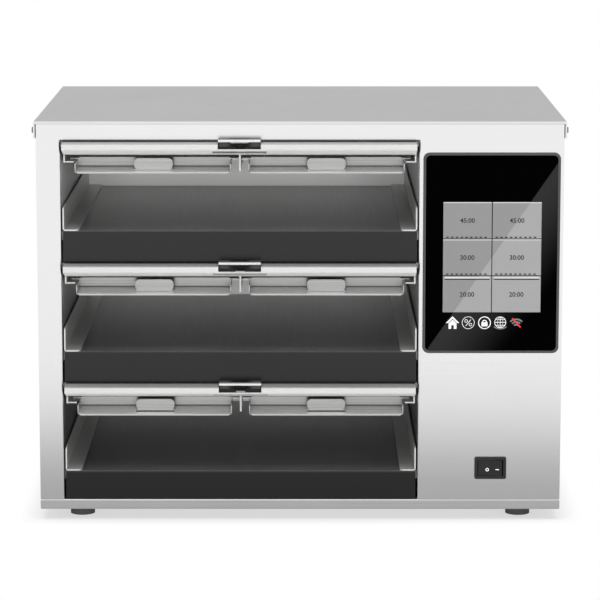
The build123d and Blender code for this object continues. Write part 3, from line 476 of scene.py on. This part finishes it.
def marks(name, polygons, y, body, material, placing=None):
    """One object from flat polygons given in metres, its front face at y."""
    mesh = bpy.data.meshes.new(name)
    bm = bmesh.new()
    for polygon in polygons:
        front = [bm.verts.new((px, y, pz)) for px, pz in polygon]
        back = [bm.verts.new((px, y + MARK_THICKNESS, pz)) for px, pz in polygon]
        bm.faces.new(front)
        bm.faces.new(list(reversed(back)))
        count = len(polygon)
        for i in range(count):
            bm.faces.new((front[i], back[i], back[(i + 1) % count], front[(i + 1) % count]))
    bmesh.ops.recalc_face_normals(bm, faces=bm.faces)
    bm.to_mesh(mesh)
    bm.free()
    if placing is not None:
        mesh.transform(placing)
    mesh.materials.append(material)
    piece = bpy.data.objects.new(name, mesh)
    bpy.context.scene.collection.objects.link(piece)
    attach(piece, body)


def millimetres(polygons):
    return [[(px / 1000, pz / 1000) for px, pz in polygon] for polygon in polygons]


def tile_look(name, dark, light, sheen_fade):
    """Lit display surface, with a painted reflection that makes it a little lighter below the glass's
    diagonal.
    """
    mat, nodes, links, bsdf = tree_of(name)
    # Painted reflection: the glass's diagonal sheen lightens the buttons
    mask = painted_sheen_mask(nodes, links, sheen_fade)
    cloud = noise(nodes, links, coords(nodes, links, (30.0,) * 3), 2.0)
    both = times(nodes, links, remap(nodes, links, mask, 0.0, 1.0, 1.0, light / dark),
                 vary(nodes, links, cloud, 0.97, 1.0))
    links.new(shade(nodes, links, (dark, dark, dark), both), bsdf.inputs["Base Color"])
    bsdf.inputs["Roughness"].default_value = 0.5
    bsdf.inputs["Specular IOR Level"].default_value = 0.1
    return mat


# Touchscreen picture: two columns of three buttons, plain numbers and common signs.
# Depths along Y are in metres, the other places and lengths in millimetres.
SCREEN_Y = -0.20226
OVER_TILES, OVER_DASHES = SCREEN_Y - MARK_RISE, SCREEN_Y - 0.00006
TILE_LEFT, TILE_SPLIT, TILE_RIGHT = 156.0, 209.2, 262.8
TILE_TOP, TILE_UPPER, TILE_LOWER, TILE_BOTTOM = 355.0, 314.6, 274.0, 233.6
TILE_GAP, TILE_EDGE = 1.0, 1.0
DASHES, DASH_START, DASH_PITCH, DASH_LENGTH = 9, 3.0, 5.2, 3.2
DASH_LOW, DASH_HIGH = 0.6, 2.0
LINE_INSET, LINE_LOW, LINE_HIGH = 1.6, 2.6, 0.6
TRACK_LOW, TRACK_HIGH = 4.0, 2.7
DIGIT_HEIGHT, DIGIT_SHARE_OF_SIZE, DIGIT_DROP, DIGIT_WEIGHT = 5.2, 0.72, 0.5, 0.12
# Buttons: the glass's reflection painted in below its diagonal
button_grey = tile_look("button_grey", dark=0.20, light=0.26, sheen_fade=0.6)
edge_light = plain("edge_light", (0.48, 0.48, 0.48), 0.5, specular=0.1)
mark_dark = plain("mark_dark", (0.025, 0.025, 0.025), 0.5, specular=0.1)
mark_white = plain("mark_white", (0.80, 0.80, 0.80), 0.5, specular=0.1)
mark_grey = plain("mark_grey", (0.16, 0.16, 0.16), 0.5, specular=0.1)
mark_red = plain("mark_red", (0.55, 0.03, 0.04), 0.5, specular=0.1)

columns = ((TILE_LEFT, TILE_SPLIT - TILE_GAP / 2), (TILE_SPLIT + TILE_GAP / 2, TILE_RIGHT))
levels = ((TILE_UPPER + TILE_GAP / 2, TILE_TOP), (TILE_LOWER + TILE_GAP / 2, TILE_UPPER - TILE_GAP / 2),
          (TILE_BOTTOM, TILE_LOWER - TILE_GAP / 2))
tiles, edges, dashes = [], [], []
for x0, x1 in columns:
    for level, (z0, z1) in enumerate(levels):
        tiles += bar(x0, x1, z0, z1)
        if level < 2:
            edges += bar(x0, x1, z1 - TILE_EDGE, z1)
            for step in range(DASHES):
                start = x0 + DASH_START + step * DASH_PITCH
                dashes += rounded_bar(start, start + DASH_LENGTH, z0 + DASH_LOW, z0 + DASH_HIGH)
        else:
            edges += rounded_bar(x0 + LINE_INSET, x1 - LINE_INSET, z1 - LINE_LOW, z1 - LINE_HIGH)
            dashes += rounded_bar(x0 + LINE_INSET, x1 - LINE_INSET, z1 - TRACK_LOW, z1 - TRACK_HIGH)
marks("screen_buttons", millimetres(tiles), SCREEN_Y, "cabinet", button_grey)
marks("screen_edges", millimetres(edges), OVER_TILES, "cabinet", edge_light)
marks("screen_dashes", millimetres(dashes), OVER_TILES, "cabinet", mark_dark)


def number(name, text, x, z):
    """Plain digits as a thin mesh on the glass."""
    curve = bpy.data.curves.new(name, "FONT")
    curve.body = text
    curve.size = DIGIT_HEIGHT / 1000 / DIGIT_SHARE_OF_SIZE
    curve.align_x = "CENTER"
    curve.align_y = "CENTER"
    curve.offset = DIGIT_WEIGHT / 1000
    curve.resolution_u = 3
    maker = bpy.data.objects.new(name + "_maker", curve)
    bpy.context.scene.collection.objects.link(maker)
    maker.rotation_euler = (math.pi / 2, 0.0, 0.0)
    maker.location = (x / 1000, OVER_DASHES, z / 1000)
    bpy.context.view_layer.update()
    mesh = bpy.data.meshes.new_from_object(maker.evaluated_get(bpy.context.evaluated_depsgraph_get()))
    mesh.transform(maker.matrix_world)
    bpy.data.objects.remove(maker)
    mesh.materials.clear()
    mesh.materials.append(mark_dark)
    piece = bpy.data.objects.new(name, mesh)
    bpy.context.scene.collection.objects.link(piece)
    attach(piece, "cabinet")


for column, (x0, x1) in enumerate(columns):
    for level, ((z0, z1), text) in enumerate(zip(levels, ("45:00", "30:00", "20:00"))):
        number(f"screen_number_{level + 1}_{column + 1}", text, (x0 + x1) / 2, (z0 + z1) / 2 - DIGIT_DROP)

# Signs under the buttons, by their middles
SIGN_Z = 221.9
PERCENT_X, PADLOCK_X, GLOBE_X, GLOBE_Z = 184.1, 201.9, 219.1, 222.4
FAN_X, FAN_Z, FAN_LINE = 236.6, 216.6, 1.6
house = [[(159.6, 221.6), (166.9, 229.0), (174.2, 221.6), (171.9, 221.6), (166.9, 226.4), (161.9, 221.6)],
         [(162.6, 221.2), (166.9, 225.3), (171.2, 221.2)],
         [(162.6, 215.2), (165.5, 215.2), (165.5, 221.2), (162.6, 221.2)],
         [(168.3, 215.2), (171.2, 215.2), (171.2, 221.2), (168.3, 221.2)],
         [(165.5, 219.2), (168.3, 219.2), (168.3, 221.2), (165.5, 221.2)]]
percent = ring(PERCENT_X, SIGN_Z, 6.9, 6.4) + stroke(181.3, 218.4, 186.9, 225.4, 0.6)
percent += ring(181.7, 223.9, 1.8, 1.3, steps=14) + ring(186.5, 219.9, 1.8, 1.3, steps=14)
padlock = ring(PADLOCK_X, SIGN_Z, 7.0, 6.1) + bar(198.6, 205.2, 218.0, 222.4)
padlock += ring(PADLOCK_X, 222.4, 2.7, 1.7, 0.0, 180.0, steps=14)
globe = ring(GLOBE_X, GLOBE_Z, 6.4, 5.8)
globe += bar(213.0, 225.2, 222.1, 222.7) + bar(218.8, 219.4, 216.2, 228.6)
globe += ring(GLOBE_X, GLOBE_Z, 6.2, 5.5, stretch=0.5)
globe += bar(214.2, 224.0, 225.4, 225.9) + bar(214.2, 224.0, 218.9, 219.4)
marks("screen_signs", millimetres(house + percent + padlock), SCREEN_Y, "cabinet", mark_white)
marks("screen_globe", millimetres(globe), SCREEN_Y, "cabinet", mark_white)
stand = ring(GLOBE_X, 226.6, 12.0, 10.8, 233.0, 307.0, steps=12)
fan = []
for radius in (4.0, 7.0, 10.0):
    fan += ring(FAN_X, FAN_Z, radius, radius - FAN_LINE, 45.0, 135.0, steps=12)
marks("screen_fan", millimetres(fan + stand), SCREEN_Y, "cabinet", mark_grey)
marks("screen_slash", millimetres(stroke(232.4, 227.0, 241.4, 216.6, 1.6)), OVER_TILES, "cabinet",
      mark_red)


def rocker_mark(name, polygons, place, turn):
    """A mark that lies on one of the rocker's two sloping faces."""
    set_down = Matrix.Translation(place) @ Matrix.Rotation(math.radians(turn), 4, "Z")
    marks(name, millimetres(polygons), -MARK_RISE, "rocker", mark_white, placing=set_down)


rocker_mark("switch_o", ring(0.0, 0.0, 1.9, 1.0), (0.2066, -0.20108, 0.05705), -1.88)
rocker_mark("switch_dash", bar(-2.0, 2.0, -0.45, 0.45), (0.2176, -0.20289, 0.05745), -12.1)


# Floor and backdrop. Mirrored in the steel, the floor is darker near the cabinet;
# seen by the camera, it is white from a little way off and keeps the shadow beneath.
# Distances are from the cabinet's footprint, in metres.
MIRRORED_FLOOR, FLOOR_NEAR_LEVEL = (0.16, 0.80), 0.42
SEEN_FLOOR, WHITE_UNDER_CABINET = (0.0, 0.03), 0.55
BACKDROP_TURN, BACK_LEVEL = (-0.1, 0.7), 0.55
AMBIENT = 0.60
FLOOR_HALF = 8.0


def footprint_distance(nodes, links):
    """Distance of a floor point from the cabinet's footprint, in metres."""
    parts = position(nodes, links)
    squares = []
    for axis, half in (("X", BODY_HALF_WIDTH), ("Y", BODY_HALF_DEPTH)):
        beyond = larger(nodes, links, minus(nodes, links, absolute(nodes, links, parts[axis]), half), 0.0)
        squares.append(times(nodes, links, beyond, beyond))
    return math_node(nodes, links, "SQRT", math_node(nodes, links, "ADD", *squares), 0.0)


def bounced(nodes, links, path):
    """1 for rays that come off glossy surfaces or through glass."""
    return larger(nodes, links, path.outputs["Is Glossy Ray"], path.outputs["Is Transmission Ray"])


corner_signs = ((-1, -1), (1, -1), (1, 1), (-1, 1))
corners = [(x * FLOOR_HALF, y * FLOOR_HALF, 0.0) for x, y in corner_signs]
floor_mesh = bpy.data.meshes.new("floor")
floor_mesh.from_pydata(corners, [], [(0, 1, 2, 3)])
floor = bpy.data.objects.new("floor", floor_mesh)
bpy.context.scene.collection.objects.link(floor)
floor_mat, fn, fl, floor_diffuse = tree_of("floor")
floor_diffuse.inputs["Base Color"].default_value = (0.82, 0.82, 0.82, 1.0)
floor_diffuse.inputs["Roughness"].default_value = 0.9
floor_diffuse.inputs["Specular IOR Level"].default_value = 0.1
away = footprint_distance(fn, fl)
rays = fn.new("ShaderNodeLightPath")
seen = fn.new("ShaderNodeEmission")
mirrored = fn.new("ShaderNodeEmission")
fl.new(ramp(fn, fl, away, MIRRORED_FLOOR, FLOOR_NEAR_LEVEL, 1.0), mirrored.inputs["Strength"])
camera_mix = fn.new("ShaderNodeMixShader")
whiteness = ramp(fn, fl, away, SEEN_FLOOR, WHITE_UNDER_CABINET, 1.0)
fl.new(times(fn, fl, rays.outputs["Is Camera Ray"], whiteness), camera_mix.inputs[0])
fl.new(floor_diffuse.outputs[0], camera_mix.inputs[1])
fl.new(seen.outputs[0], camera_mix.inputs[2])
mirror_mix = fn.new("ShaderNodeMixShader")
fl.new(bounced(fn, fl, rays), mirror_mix.inputs[0])
fl.new(camera_mix.outputs[0], mirror_mix.inputs[1])
fl.new(mirrored.outputs[0], mirror_mix.inputs[2])
fl.new(mirror_mix.outputs[0], fn["Material Output"].inputs["Surface"])
floor.data.materials.append(floor_mat)

world = bpy.data.worlds.new("studio")
bpy.context.scene.world = world
world.use_nodes = True
wn, wl = world.node_tree.nodes, world.node_tree.links
soft = wn["Background"]
soft.inputs["Color"].default_value = (1.0, 1.0, 1.0, 1.0)
soft.inputs["Strength"].default_value = AMBIENT
white = wn.new("ShaderNodeBackground")
studio = wn.new("ShaderNodeBackground")
for backdrop in (white, studio):
    backdrop.inputs["Color"].default_value = (1.0, 1.0, 1.0, 1.0)
place = wn.new("ShaderNodeTexCoord")
parts = wn.new("ShaderNodeSeparateXYZ")
wl.new(place.outputs["Generated"], parts.inputs["Vector"])
wl.new(ramp(wn, wl, parts.outputs["Y"], BACKDROP_TURN, 1.0, BACK_LEVEL), studio.inputs["Strength"])
path = wn.new("ShaderNodeLightPath")
first = wn.new("ShaderNodeMixShader")
wl.new(bounced(wn, wl, path), first.inputs[0])
wl.new(soft.outputs[0], first.inputs[1])
wl.new(studio.outputs[0], first.inputs[2])
second = wn.new("ShaderNodeMixShader")
wl.new(path.outputs["Is Camera Ray"], second.inputs[0])
wl.new(first.outputs[0], second.inputs[1])
wl.new(white.outputs[0], second.inputs[2])
wl.new(second.outputs[0], wn["World Output"].inputs["Surface"])


# Lamps, which aren't mirrored in the steel
LAMP_AIM = (0.0, 0.0, 0.2)


def area(name, place, size, power):
    data = bpy.data.lights.new(name, "AREA")
    data.shape = "RECTANGLE"
    data.size, data.size_y = size
    data.energy = power
    lamp = bpy.data.objects.new(name, data)
    bpy.context.scene.collection.objects.link(lamp)
    lamp.location = place
    lamp.rotation_euler = (Vector(LAMP_AIM) - Vector(place)).to_track_quat("-Z", "Y").to_euler()
    lamp.visible_glossy = False


area("overhead", (0.0, -0.6, 2.4), (2.6, 2.0), 45.0)
area("front", (0.0, -3.6, 0.50), (1.6, 0.6), 80.0)

# Camera, fitted to the photo: place in metres, sensor and lens in millimetres, angles in radians
CAMERA_PLACE = (0.00340, -3.41703, 0.78626)
CAMERA_SENSOR, CAMERA_LENS = 36.0, 178.911
CAMERA_DOWN, CAMERA_TURN = 0.16616, 0.00107
camera_data = bpy.data.cameras.new("camera")
camera_data.sensor_width = CAMERA_SENSOR
camera_data.lens = CAMERA_LENS
camera = bpy.data.objects.new("camera", camera_data)
bpy.context.scene.collection.objects.link(camera)
camera.location = CAMERA_PLACE
camera.rotation_euler = (math.pi / 2 - CAMERA_DOWN, 0.0, CAMERA_TURN)
bpy.context.scene.camera = camera
bpy.context.scene.view_settings.view_transform = "Standard"
